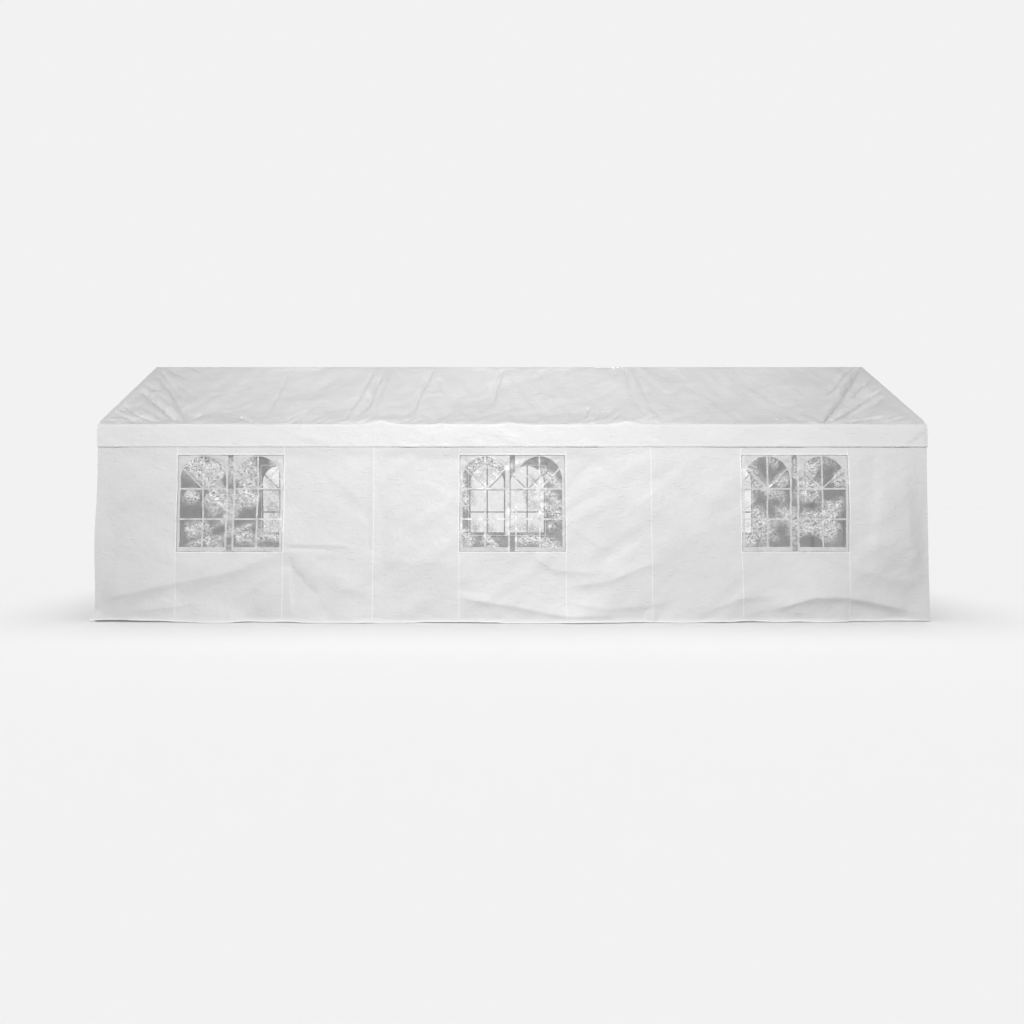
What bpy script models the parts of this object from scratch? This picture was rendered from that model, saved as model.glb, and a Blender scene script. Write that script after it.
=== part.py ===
"""A white garden marquee of three bays, nine metres by three, as its separate pieces.

Metres, +Z up. The origin is on the ground under the middle of the tent. X runs along
the tent from left to right, and the front, a long wall with three windows, faces -Y.
"""

import math

import bmesh
import bpy
from mathutils import Matrix, Vector

# Overall size, over the cloth
LENGTH = 9.0
WIDTH = 3.0
BAYS = 3
EAVE_HEIGHT = 2.13
ROOF_PITCH = math.radians(30)
VALANCE_HEIGHT = 0.245

# Cloth walls, which hang outside the frame and inside the valance
CLOTH = 0.003
FILM = 0.002
SEAM_GAP = 0.0003
WALL_TOP = 2.11
VALANCE_CLEARANCE = 0.0045
HEM_FLARE = 0.055
LONG_WALL_BELLY = 0.08
END_WALL_BELLY = 0.02
FLARE_POWER = 1.3
ROOF_SAG = 0.035
TAUT_EDGE = 0.06

# Windows and doors
WINDOW_WIDTH = 1.15
WINDOW_SPACING = 3.05
WINDOW_SILL = 0.75
WINDOW_HEAD = 1.80
DOOR_WIDTH = 1.20

# Frame of round steel tubes pushed into sleeved joints
TUBE_RADIUS = 0.019
SLEEVE_RADIUS = 0.0225
BORE_RADIUS = 0.0194
ROUND_SIDES = 12
SLEEVE_STEP = 0.0003
TUBE_SEAT = 0.045
SLEEVE_REACH = 0.11
TIE_DROP = 0.10
CORNER_SLEEVE_REACH = 0.17
SLEEVE_END = 0.026
COVER_GAP = 0.0005
RAFTER_FLAT = 0.03

# Feet
PLATE_SIDE = 0.10
PLATE_THICKNESS = 0.004
FOOT_COLLAR_HEIGHT = 0.06
PEG_HOLE_RADIUS = 0.006
PEG_HOLE_OFFSET = 0.036
PEG_HOLE_SIDES = 8

# Grid of the cloth solids
BAY_STEPS = 4
SLOPE_STEPS = 4
MID_WALL_ROWS = (0.25, 1.27)

HALF_LENGTH = LENGTH / 2
HALF_WIDTH = WIDTH / 2
BAY = LENGTH / BAYS
RISE = math.tan(ROOF_PITCH)
RIDGE_HEIGHT = EAVE_HEIGHT + HALF_WIDTH * RISE
VALANCE_FOOT = EAVE_HEIGHT - VALANCE_HEIGHT
WALL_INSET = CLOTH + VALANCE_CLEARANCE
FRAME_INSET = WALL_INSET + CLOTH + SEAM_GAP
POST_Y = HALF_WIDTH - FRAME_INSET - SLEEVE_RADIUS
END_POST_X = HALF_LENGTH - FRAME_INSET - SLEEVE_END
ROOF_OFFSET = (CLOTH + COVER_GAP + SLEEVE_RADIUS) / math.cos(ROOF_PITCH)
JOINT_Z = EAVE_HEIGHT + (HALF_WIDTH - POST_Y) * RISE - ROOF_OFFSET
RIDGE_AXIS_Z = RIDGE_HEIGHT - ROOF_OFFSET
FRAME_X = [-END_POST_X, -BAY / 2, BAY / 2, END_POST_X]
WINDOW_CENTRES = [(i - (BAYS - 1) / 2) * WINDOW_SPACING for i in range(BAYS)]
WALL_ROWS = sorted([0.0, WINDOW_SILL, WINDOW_HEAD, WALL_TOP, *MID_WALL_ROWS])
SIDES = {"front": -1, "back": 1}
ENDS = {"left": -1, "right": 1}


def clear_scene():
    for old in list(bpy.data.objects):
        bpy.data.objects.remove(old, do_unlink=True)


def finish_material(name, colour, roughness, metallic=0.0, alpha=1.0):
    material = bpy.data.materials.new(name)
    material.use_nodes = True
    shader = material.node_tree.nodes["Principled BSDF"]
    shader.inputs["Base Color"].default_value = (*colour, 1.0)
    shader.inputs["Roughness"].default_value = roughness
    shader.inputs["Metallic"].default_value = metallic
    shader.inputs["Alpha"].default_value = alpha
    return material


def add_object(name, mesh, material, parent, place=None):
    obj = bpy.data.objects.new(name, mesh)
    bpy.context.scene.collection.objects.link(obj)
    mesh.materials.clear()
    mesh.materials.append(material)
    obj.parent = parent
    if place is not None:
        obj.matrix_local = place
    return obj


def mesh_of(work, name):
    mesh = bpy.data.meshes.new(name)
    work.normal_update()
    work.to_mesh(mesh)
    work.free()
    return mesh


def along(direction, origin=(0, 0, 0)):
    """The placement that turns +Z to a direction at a point."""
    turn = Vector(direction).to_track_quat("Z", "Y").to_matrix().to_4x4()
    return Matrix.Translation(origin) @ turn


def rod_mesh(name, start, end, radius, direction=(0, 0, 1), origin=(0, 0, 0), sides=ROUND_SIDES):
    """A round bar from start to end, both measured along a direction from a point."""
    work = bmesh.new()
    shift = Matrix.Translation((0, 0, (start + end) / 2))
    bmesh.ops.create_cone(
        work,
        cap_ends=True,
        segments=sides,
        radius1=radius,
        radius2=radius,
        depth=end - start,
        matrix=along(direction, origin) @ shift,
    )
    return mesh_of(work, name)


def box_mesh(name, low, high):
    work = bmesh.new()
    middle = (Vector(low) + Vector(high)) / 2
    size = Vector(high) - Vector(low)
    place = Matrix.Translation(middle) @ Matrix.Diagonal((*size, 1))
    bmesh.ops.create_cube(work, size=1, matrix=place)
    return mesh_of(work, name)


def combine(base, others, operation):
    """The base mesh joined with, or cut by, the other meshes in turn."""
    scene = bpy.context.scene.collection.objects
    body = bpy.data.objects.new("body", base)
    scene.link(body)
    helpers = []
    for other in others:
        helper = bpy.data.objects.new("helper", other)
        scene.link(helper)
        helpers.append(helper)
        step = body.modifiers.new("step", "BOOLEAN")
        step.operation = operation
        step.solver = "EXACT"
        step.object = helper
    graph = bpy.context.evaluated_depsgraph_get()
    made = bpy.data.meshes.new_from_object(body.evaluated_get(graph))
    for used in [body, *helpers]:
        bpy.data.objects.remove(used, do_unlink=True)
    return made


def smooth_round(mesh):
    mesh.shade_smooth()
    mesh.set_sharp_from_angle(angle=math.radians(40))
    return mesh


def tube_between(name, start, end, material, parent):
    """A frame tube whose ends stop against the seats in the joints at both points."""
    run = Vector(end) - Vector(start)
    seat = TUBE_SEAT + SEAM_GAP
    mesh = smooth_round(rod_mesh(name, seat, run.length - seat, TUBE_RADIUS))
    return add_object(name, mesh, material, parent, along(run, start))


def sleeved(name, core, arms):
    """Sleeves welded to a core, then bored for the tubes. An arm is (direction, root, reach).

    Each sleeve is a little thinner than the one before, so that no two share a surface.
    """
    sleeves = []
    bores = []
    for step, (direction, root, reach) in enumerate(arms, start=1):
        radius = SLEEVE_RADIUS - step * SLEEVE_STEP
        sleeves.append(rod_mesh("sleeve", 0, reach, radius, direction, root))
        bores.append(rod_mesh("bore", TUBE_SEAT, reach + 0.02, BORE_RADIUS, direction, root))
    whole = combine(core, sleeves, "UNION")
    return combine(whole, bores, "DIFFERENCE")


# Frame pieces


def build_post(name, x, side, steel, parent):
    """An upright tube welded into a foot plate with a collar and two peg holes."""
    top = JOINT_Z - TUBE_SEAT - SEAM_GAP
    half = PLATE_SIDE / 2
    plate = box_mesh(name, (-half, -half, 0), (half, half, PLATE_THICKNESS))
    inside_plate = PLATE_THICKNESS / 2
    collar = rod_mesh("collar", inside_plate, FOOT_COLLAR_HEIGHT, SLEEVE_RADIUS)
    upright = rod_mesh("upright", PLATE_THICKNESS, top, TUBE_RADIUS)
    solid = combine(plate, [collar, upright], "UNION")
    pegs = [
        rod_mesh(
            "peg_hole",
            -PLATE_THICKNESS,
            2 * PLATE_THICKNESS,
            PEG_HOLE_RADIUS,
            origin=(sign * PEG_HOLE_OFFSET, sign * PEG_HOLE_OFFSET, 0),
            sides=PEG_HOLE_SIDES,
        )
        for sign in (-1, 1)
    ]
    mesh = smooth_round(combine(solid, pegs, "DIFFERENCE"))
    mesh.name = name
    place = Matrix.Translation((x, side * POST_Y, 0))
    return add_object(name, mesh, steel, parent, place)


def build_rafter(name, x, side, steel, parent):
    """A rafter with the eave joint welded to its foot: sleeves for a post, eave tubes and a tie."""
    at_end = abs(x) > BAY
    outward = math.copysign(1, x)
    inward = -side
    slope = Vector((0, inward * math.cos(ROOF_PITCH), math.sin(ROOF_PITCH)))
    here = (0, 0, 0)
    if at_end:
        arms = [
            ((0, 0, -1), here, CORNER_SLEEVE_REACH),
            ((0, inward, 0), (0, 0, -TIE_DROP), SLEEVE_REACH),
        ]
        core = rod_mesh(name, -SLEEVE_END, SLEEVE_REACH, SLEEVE_RADIUS, (-outward, 0, 0))
        run = [(-outward, 0, 0)]
    else:
        arms = [((0, 0, -1), here, SLEEVE_REACH)]
        core = rod_mesh(name, -SLEEVE_REACH, SLEEVE_REACH, SLEEVE_RADIUS, (1, 0, 0))
        run = [(1, 0, 0), (-1, 0, 0)]
    length = POST_Y / math.cos(ROOF_PITCH) - TUBE_SEAT - SEAM_GAP
    tube = rod_mesh("tube", 0, length, TUBE_RADIUS, slope)
    bores = [rod_mesh("bore", TUBE_SEAT, SLEEVE_REACH + 0.02, BORE_RADIUS, way) for way in run]
    core = combine(core, [tube], "UNION")
    mesh = combine(sleeved(name, core, arms), bores, "DIFFERENCE")
    mesh.name = name
    place = Matrix.Translation((x, side * POST_Y, JOINT_Z))
    return add_object(name, smooth_round(mesh), steel, parent, place)


def build_ridge_joint(name, x, steel, parent):
    """The joint at the ridge: sleeves for two rafters and for the ridge tube on each inner side."""
    outward = math.copysign(1, x)
    here = (0, 0, 0)
    if abs(x) > BAY:
        core = rod_mesh(name, -SLEEVE_END, SLEEVE_REACH, SLEEVE_RADIUS, (-outward, 0, 0))
        run = [(-outward, 0, 0)]
    else:
        core = rod_mesh(name, -SLEEVE_REACH, SLEEVE_REACH, SLEEVE_RADIUS, (1, 0, 0))
        run = [(1, 0, 0), (-1, 0, 0)]
    arms = [
        ((0, side * math.cos(ROOF_PITCH), -math.sin(ROOF_PITCH)), here, SLEEVE_REACH)
        for side in SIDES.values()
    ]
    bores = [rod_mesh("bore", TUBE_SEAT, SLEEVE_REACH + 0.02, BORE_RADIUS, way) for way in run]
    mesh = combine(sleeved(name, core, arms), bores, "DIFFERENCE")
    mesh.name = name
    place = Matrix.Translation((x, 0, RIDGE_AXIS_Z))
    return add_object(name, smooth_round(mesh), steel, parent, place)


def build_frame(steel, parent):
    for label, side in SIDES.items():
        eave = [(x, side * POST_Y, JOINT_Z) for x in FRAME_X]
        for number, x in enumerate(FRAME_X, start=1):
            build_post(f"post_{label}_{number}", x, side, steel, parent)
            build_rafter(f"rafter_{label}_{number}", x, side, steel, parent)
        for number in range(1, BAYS + 1):
            name = f"eave_tube_{label}_{number}"
            tube_between(name, eave[number - 1], eave[number], steel, parent)
    ridge = [(x, 0, RIDGE_AXIS_Z) for x in FRAME_X]
    for number, x in enumerate(FRAME_X, start=1):
        build_ridge_joint(f"ridge_joint_{number}", x, steel, parent)
    for number in range(1, BAYS + 1):
        tube_between(f"ridge_tube_{number}", ridge[number - 1], ridge[number], steel, parent)
    for label, end in ENDS.items():
        x = end * END_POST_X
        height = JOINT_Z - TIE_DROP
        front = (x, -POST_Y, height)
        back = (x, POST_Y, height)
        tube_between(f"end_tie_{label}", front, back, steel, parent)


# Cloth walls


def flare(z):
    """How far the cloth stands out from its top edge at height z, at a corner."""
    return HEM_FLARE * fall(z)


def fall(z):
    """0 from the heads of the windows up, and 1 at the ground."""
    return max(0.0, 1 - z / WINDOW_HEAD) ** FLARE_POWER


def wall_point(share, z, depth, half_run, half_reach, belly):
    """(along, out) of a wall: along it from its middle, and out from the tent's middle.

    share runs from -1 to 1 along the wall, and depth is measured in from its outer face.
    """
    run = share * (half_run + flare(z))
    out = half_reach + flare(z) + belly * (1 - share * share) * fall(z) - depth
    return run, out


def cloth_solid(name, shares, rows, point, outer, inner, holes=()):
    """A closed sheet over a grid of shares and rows. Cells whose index is in holes stay open."""
    work = bmesh.new()
    skins = []
    for depth in (outer, inner):
        skins.append([[work.verts.new(point(s, z, depth)) for z in rows] for s in shares])
    columns = range(len(shares) - 1)
    levels = range(len(rows) - 1)
    kept = {(i, j) for i in columns for j in levels if (i, j) not in holes}
    for i, j in kept:
        corners = [(i, j), (i + 1, j), (i + 1, j + 1), (i, j + 1)]
        # The cloth bellies out, so both skins fold along the diagonal that lies further out
        first = 0 if shares[i] + shares[i + 1] > 0 else 1
        turned = corners[first:] + corners[:first]
        for triangle in (turned[:3], [turned[0], *turned[2:]]):
            work.faces.new([skins[0][a][b] for a, b in triangle])
            work.faces.new([skins[1][a][b] for a, b in reversed(triangle)])
        neighbours = [(i, j - 1), (i + 1, j), (i, j + 1), (i - 1, j)]
        for k, neighbour in enumerate(neighbours):
            if neighbour in kept:
                continue
            (a, b), (c, d) = corners[k], corners[(k + 1) % 4]
            work.faces.new([skins[0][c][d], skins[0][a][b], skins[1][a][b], skins[1][c][d]])
    loose = [v for v in work.verts if not v.link_faces]
    bmesh.ops.delete(work, geom=loose, context="VERTS")
    bmesh.ops.recalc_face_normals(work, faces=work.faces)
    return mesh_of(work, name)


def long_wall_solid(name, side, shares, rows, outer, inner, holes=()):
    half_run = HALF_LENGTH - WALL_INSET
    half_reach = HALF_WIDTH - WALL_INSET

    def point(share, z, depth):
        run, out = wall_point(share, z, depth, half_run, half_reach, LONG_WALL_BELLY)
        return (run, side * out, z)

    return cloth_solid(name, shares, rows, point, outer, inner, holes)


def end_wall_solid(name, end, shares, rows, outer, inner, holes=()):
    half_run = HALF_WIDTH - WALL_INSET - CLOTH - SEAM_GAP
    half_reach = HALF_LENGTH - WALL_INSET

    def point(share, z, depth):
        run, out = wall_point(share, z, depth, half_run, half_reach, END_WALL_BELLY)
        return (end * out, run, z)

    return cloth_solid(name, shares, rows, point, outer, inner, holes)


def build_long_wall(label, side, cloth, film, parent):
    """A long wall with a window opening in the middle of each bay, and its clear films."""
    half_run = HALF_LENGTH - WALL_INSET
    edges = [-half_run, half_run]
    for centre in WINDOW_CENTRES:
        edges += [centre - WINDOW_WIDTH / 2, centre + WINDOW_WIDTH / 2]
    for x in FRAME_X[1:-1]:
        edges.append(x)
    edges = sorted(edges)
    shares = [x / half_run for x in edges]
    sill = WALL_ROWS.index(WINDOW_SILL)
    head = WALL_ROWS.index(WINDOW_HEAD)
    holes = set()
    for number, centre in enumerate(WINDOW_CENTRES, start=1):
        column = edges.index(centre - WINDOW_WIDTH / 2)
        holes |= {(column, row) for row in range(sill, head)}
        pane_edges = [centre - WINDOW_WIDTH / 2 + SEAM_GAP, centre + WINDOW_WIDTH / 2 - SEAM_GAP]
        pane_shares = [x / half_run for x in pane_edges]
        pane_rows = [WINDOW_SILL + SEAM_GAP, *WALL_ROWS[sill + 1 : head], WINDOW_HEAD - SEAM_GAP]
        lap = (CLOTH - FILM) / 2
        name = f"{label}_window_{number}"
        pane = long_wall_solid(name, side, pane_shares, pane_rows, lap, lap + FILM)
        add_object(name, pane, film, parent)
    name = f"{label}_wall"
    wall = long_wall_solid(name, side, shares, WALL_ROWS, 0, CLOTH, holes)
    add_object(name, wall, cloth, parent)


def build_end_wall(label, end, cloth, parent):
    """An end wall with a zipped door in its middle, closed by its own flap."""
    half_run = HALF_WIDTH - WALL_INSET - CLOTH - SEAM_GAP
    door = DOOR_WIDTH / 2
    edges = [-half_run, -door, 0.0, door, half_run]
    shares = [y / half_run for y in edges]
    head = WALL_ROWS.index(WINDOW_HEAD)
    first = edges.index(-door)
    holes = {(column, row) for row in range(head) for column in (first, first + 1)}
    name = f"{label}_end_wall"
    wall = end_wall_solid(name, end, shares, WALL_ROWS, 0, CLOTH, holes)
    add_object(name, wall, cloth, parent)
    flap_shares = [y / half_run for y in (-door + SEAM_GAP, 0.0, door - SEAM_GAP)]
    flap_rows = [*WALL_ROWS[:head], WINDOW_HEAD - SEAM_GAP]
    name = f"{label}_door_flap"
    flap = end_wall_solid(name, end, flap_shares, flap_rows, 0, CLOTH)
    add_object(name, flap, cloth, parent)


# Roof cover


def roof_girth(depth):
    """(y, z, sag share) across the cover, from the front valance's foot to the back one's.

    depth is measured in from the outer face of the cover. The cover lies taut along the
    eaves and the ridge, and sags on the slopes.
    """
    half = HALF_WIDTH - depth
    eave = EAVE_HEIGHT + depth * RISE - depth / math.cos(ROOF_PITCH)
    ridge = RIDGE_HEIGHT - depth / math.cos(ROOF_PITCH)
    front = [(-half, VALANCE_FOOT, 0.0), (-half, eave, 0.0)]
    for step in range(SLOPE_STEPS + 1):
        sagging = step / SLOPE_STEPS
        share = TAUT_EDGE + (1 - 2 * TAUT_EDGE) * sagging
        height = eave + (ridge - eave) * share
        front.append((-half * (1 - share), height, math.sin(math.pi * sagging)))
    front.append((0.0, ridge, 0.0))
    back = [(-y, z, sag) for y, z, sag in reversed(front[:-1])]
    return front + back


def roof_stations(depth):
    """(x, dip) along the cover: flat over each rafter, dipping between them."""
    half = HALF_LENGTH - depth
    found = [(-half, 0.0)]
    for left, right in zip(FRAME_X[:-1], FRAME_X[1:]):
        start = left + RAFTER_FLAT
        end = right - RAFTER_FLAT
        for step in range(BAY_STEPS + 1):
            share = step / BAY_STEPS
            dip = ROOF_SAG * math.sin(math.pi * share)
            found.append((start + (end - start) * share, dip))
    found.append((half, 0.0))
    return found


def fold_cell(work, a, b, c, d):
    """Two triangles over a cell of the cover, parted along its lower diagonal, as cloth folds."""
    if a.co.z + c.co.z <= b.co.z + d.co.z:
        parts = ((a, b, c), (a, c, d))
    else:
        parts = ((a, b, d), (b, c, d))
    for corners in parts:
        work.faces.new(corners)


def build_roof_cover(cloth, parent):
    """One sewn cover: two slopes that sag a little in each bay, two gables and the valance."""
    name = "roof_cover"
    work = bmesh.new()
    skins = []
    for depth in (0.0, CLOTH):
        skin = []
        for x, dip in roof_stations(depth):
            points = [(x, y, z - dip * sag) for y, z, sag in roof_girth(depth)]
            skin.append([work.verts.new(point) for point in points])
        skins.append(skin)
    width = len(skins[0][0])
    for skin in skins:
        for i in range(len(skin) - 1):
            for j in range(width - 1):
                fold_cell(work, skin[i][j], skin[i + 1][j], skin[i + 1][j + 1], skin[i][j + 1])
        work.faces.new(skin[0])
        work.faces.new(list(reversed(skin[-1])))
    rims = []
    for skin in skins:
        front = [ring[0] for ring in skin]
        back = [ring[-1] for ring in reversed(skin)]
        rims.append(front + back)
    count = len(rims[0])
    for i in range(count):
        k = (i + 1) % count
        work.faces.new([rims[0][i], rims[0][k], rims[1][k], rims[1][i]])
    bmesh.ops.recalc_face_normals(work, faces=work.faces)
    add_object(name, mesh_of(work, name), cloth, parent)


def main():
    clear_scene()
    tent = bpy.data.objects.new("marquee", None)
    bpy.context.scene.collection.objects.link(tent)
    steel = finish_material("white_coated_steel", (0.78, 0.78, 0.77), 0.35, metallic=0.2)
    roof = finish_material("roof_sheeting", (0.76, 0.76, 0.76), 0.45)
    cloth = finish_material("wall_sheeting", (0.82, 0.82, 0.82), 0.5)
    film = finish_material("window_film", (0.75, 0.75, 0.76), 0.1, alpha=0.35)
    build_frame(steel, tent)
    for label, side in SIDES.items():
        build_long_wall(label, side, cloth, film, tent)
    for label, end in ENDS.items():
        build_end_wall(label, end, cloth, tent)
    build_roof_cover(roof, tent)


main()
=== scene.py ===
"""The looks of a white marquee tent: its creased sheeting, crinkled windows, seams, frame and light.

Metres, +Z up. X runs along the tent and the front faces -Y. A wall's own coordinates are
x0, the run along its top edge from the middle, and z, the height. A slope's are x and rise,
the distance up the slope from the eave.
"""

import math

import bpy
import numpy as np
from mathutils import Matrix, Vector


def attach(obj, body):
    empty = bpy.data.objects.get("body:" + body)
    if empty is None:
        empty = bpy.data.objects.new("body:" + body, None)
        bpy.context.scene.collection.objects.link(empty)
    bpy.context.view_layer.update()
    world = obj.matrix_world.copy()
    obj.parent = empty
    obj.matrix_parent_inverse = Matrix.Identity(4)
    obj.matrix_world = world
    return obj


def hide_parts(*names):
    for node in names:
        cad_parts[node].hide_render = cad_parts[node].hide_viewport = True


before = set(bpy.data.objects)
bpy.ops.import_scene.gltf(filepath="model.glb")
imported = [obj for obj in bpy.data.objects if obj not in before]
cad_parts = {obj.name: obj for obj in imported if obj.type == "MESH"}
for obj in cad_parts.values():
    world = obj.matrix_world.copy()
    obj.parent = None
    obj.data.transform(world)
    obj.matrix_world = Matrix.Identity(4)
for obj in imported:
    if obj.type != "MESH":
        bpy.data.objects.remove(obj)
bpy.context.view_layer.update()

# Size of the tent, as the solids have it
HALF_LENGTH = 4.5
HALF_WIDTH = 1.5
EAVE_HEIGHT = 2.13
ROOF_PITCH = math.radians(30)
RISE = math.tan(ROOF_PITCH)
RIDGE_HEIGHT = EAVE_HEIGHT + HALF_WIDTH * RISE
SLOPE_LENGTH = HALF_WIDTH / math.cos(ROOF_PITCH)
VALANCE_HEIGHT = 0.245
ZIP_PITCH = 0.006
CLOTH = 0.003
MID_CLOTH = CLOTH / 2
WALL_INSET = CLOTH + 0.0045
WALL_TOP = 2.11
WINDOW_HEAD = 1.80
WINDOW_SILL = 0.75
WINDOW_WIDTH = 1.15
WINDOW_CENTRES = (-3.05, 0.0, 3.05)
DOOR_WIDTH = 1.20
LONG_RUN = HALF_LENGTH - WALL_INSET
LONG_REACH = HALF_WIDTH - WALL_INSET
END_RUN = HALF_WIDTH - WALL_INSET - CLOTH
END_REACH = HALF_LENGTH - WALL_INSET
RAFTERS = (-4.46, -1.5, 1.5, 4.46)

# How the cloth hangs
LONG_FLARE = 0.055
END_FLARE = 0.004
LONG_BELLY = 0.08
END_BELLY = 0.03
FLARE_POWER = 1.3
HEM_LIFT = 0.002
ROOF_SAG = 0.095
CORNER_BOW = 0.024
CORNER_TUCK = 0.018
CORNER_SPILL = 0.050
EAVE_ROUNDING = 0.018
VERGE = HALF_LENGTH - MID_CLOTH

# Camera and light
EYE = (-0.21, -9.87, 1.39)
LENS = 27.18
SHIFT = (0.0186, -0.0190)
BACKDROP = 0.888
SKY_LIGHT = ((0.0, 0.24), (0.44, 0.32), (0.50, 0.58), (0.62, 0.62), (0.82, 0.30), (1.0, 0.10))
FLOOR_TONE = 0.80
FLOOR_SUN = 2.53
FLOOR_SUN_SPREAD = math.radians(68)


# Fields that shape the cloth

LATTICE = 256


def noise(x, y, size, seed):
    """Smooth noise from -1 to 1, whose blotches are about size across."""
    lattice = np.random.default_rng(seed).uniform(-1, 1, (LATTICE, LATTICE))
    u = np.asarray(x) / size + 100
    v = np.asarray(y) / size + 100
    i = np.floor(u).astype(int)
    j = np.floor(v).astype(int)
    fu = u - i
    fv = v - j
    fu = fu * fu * fu * (fu * (fu * 6 - 15) + 10)
    fv = fv * fv * fv * (fv * (fv * 6 - 15) + 10)
    i = i % LATTICE
    j = j % LATTICE
    i1 = (i + 1) % LATTICE
    j1 = (j + 1) % LATTICE
    low = lattice[i, j] * (1 - fu) + lattice[i1, j] * fu
    high = lattice[i, j1] * (1 - fu) + lattice[i1, j1] * fu
    return low * (1 - fv) + high * fv


def folds(x, y, angle, length, width, seed):
    """Noise drawn out into soft folds that run at an angle, in degrees from the x axis."""
    a = math.radians(angle)
    run = x * math.cos(a) + y * math.sin(a)
    cross = y * math.cos(a) - x * math.sin(a)
    bent = cross + 0.25 * width * noise(run, cross, length * 0.6, seed + 7)
    return noise(run / length, bent / width, 1.0, seed)


def crumple(x, y, size, seed):
    """Sharp-edged small facets, from 0 to 1, as of sheeting that was folded and shaken out."""
    total = np.abs(noise(x + 0.3 * y, y - 0.2 * x, size, seed))
    total = total + 0.5 * np.abs(noise(x - 0.5 * y, y + 0.4 * x, size * 0.55, seed + 1))
    return 1 - total / 1.5


def facets(x, y, size, seed):
    """Flat facets about size across, from -1 to 1, with sharp edges between them."""
    heights = np.random.default_rng(seed).uniform(-1, 1, (LATTICE, LATTICE))
    u = (x + 0.35 * size * noise(x, y, 1.7 * size, seed + 1)) / size + 100
    v = (y + 0.35 * size * noise(x, y, 1.4 * size, seed + 2)) / size + 100
    i, j = np.floor(u).astype(int), np.floor(v).astype(int)
    fu, fv = u - i, v - j
    low, high = heights[i % LATTICE, j % LATTICE], heights[(i + 1) % LATTICE, (j + 1) % LATTICE]
    right, above = heights[(i + 1) % LATTICE, j % LATTICE], heights[i % LATTICE, (j + 1) % LATTICE]
    by_right = low * (1 - fu) + right * (fu - fv) + high * fv
    by_above = low * (1 - fv) + above * (fv - fu) + high * fu
    return np.where(fu > fv, by_right, by_above)


def crease(x, y, line, width, depth, spread=1.0):
    """A fold along a line of points: a ridge or, with depth below 0, a groove.

    Left of the line it falls off more gently, by the spread. An even one has a shoulder there.
    """
    points = np.array(line, float)
    steps = np.diff(points, axis=0)
    lengths = np.hypot(steps[:, 0], steps[:, 1])
    before = np.concatenate([[0], np.cumsum(lengths)])
    near = np.full(np.shape(x), 1e9)
    side = np.zeros_like(near)
    run = np.zeros_like(near)
    for start, step, length, done in zip(points, steps, lengths, before):
        way = step / length
        dx = x - start[0]
        dy = y - start[1]
        t = np.clip(dx * way[0] + dy * way[1], 0, length)
        away = np.hypot(dx - t * way[0], dy - t * way[1])
        closer = away < near
        near = np.where(closer, away, near)
        side = np.where(closer, np.sign(dy * way[0] - dx * way[1]), side)
        run = np.where(closer, (done + t) / before[-1], run)
    taper = smooth_step(-0.05, 0.15, run) * smooth_step(-0.05, 0.25, 1 - run)
    if spread == 1.0:
        shoulder = 0.5 * np.exp(-(((near * side - 2.2 * width) / (1.6 * width)) ** 2))
        return depth * taper * (np.exp(-near / width) - shoulder)
    reach = np.where(side > 0, spread, 1.0) * width
    return depth * taper * np.exp(-((near / reach) ** 1.3))


def crease_sum(x, y, creases, spread=1.0):
    total = np.zeros(np.shape(x))
    for line, width, depth in creases:
        total = total + crease(x, y, line, width, depth, spread)
    return total


def mirrored(creases):
    return [([(-x, y) for x, y in line], width, depth) for line, width, depth in creases]


def smooth_step(low, high, value):
    share = np.clip((value - low) / (high - low), 0, 1)
    return share * share * (3 - 2 * share)


def hump(value, middle, width):
    return np.exp(-(((value - middle) / width) ** 2))


def between(lines, field, x, y):
    """A field on a grid read at any point, straight between the grid's lines."""
    xs, ys = lines
    i = np.clip(np.searchsorted(xs, x) - 1, 0, len(xs) - 2)
    j = np.clip(np.searchsorted(ys, y) - 1, 0, len(ys) - 2)
    u = np.clip((x - xs[i]) / (xs[i + 1] - xs[i]), 0, 1)
    v = np.clip((y - ys[j]) / (ys[j + 1] - ys[j]), 0, 1)
    low = field[i, j] * (1 - u) + field[i + 1, j] * u
    high = field[i, j + 1] * (1 - u) + field[i + 1, j + 1] * u
    return low * (1 - v) + high * v


def grid_lines(marks, step):
    """Lines about a step apart that include every mark."""
    marks = sorted(marks)
    lines = []
    for low, high in zip(marks[:-1], marks[1:]):
        count = max(1, round((high - low) / step))
        lines.extend(np.linspace(low, high, count, endpoint=False))
    return np.array([*lines, marks[-1]])


# Meshes


class Parts:
    """Grids of points that are gathered into one mesh."""

    def __init__(self):
        self.points = []
        self.faces = []
        self.count = 0

    def add(self, grid, keep=None, flip=False):
        grid = np.asarray(grid, float)
        rows, columns = grid.shape[:2]
        i, j = np.meshgrid(np.arange(rows - 1), np.arange(columns - 1), indexing="ij")
        if keep is not None:
            i, j = i[keep], j[keep]
        first = (i * columns + j + self.count).ravel()
        quads = np.stack([first, first + columns, first + columns + 1, first + 1], axis=1)
        self.points.append(grid.reshape(-1, 3))
        self.faces.append(quads[:, ::-1] if flip else quads)
        self.count += rows * columns

    def build(self, name, material, values=None):
        """The object on the tent, without points that no face uses. values go in its attribute."""
        points = np.concatenate(self.points)
        faces = np.concatenate(self.faces)
        used, faces = np.unique(faces, return_inverse=True)
        mesh = bpy.data.meshes.new(name)
        mesh.from_pydata(points[used].tolist(), [], faces.reshape(-1, 4).tolist())
        mesh.shade_smooth()
        mesh.materials.append(material)
        if values is not None:
            mark = mesh.attributes.new("crinkle", "FLOAT", "POINT")
            mark.data.foreach_set("value", np.ravel(values)[used].astype(np.float32))
        obj = bpy.data.objects.new(name, mesh)
        bpy.context.scene.collection.objects.link(obj)
        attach(obj, "root")
        return obj


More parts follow.
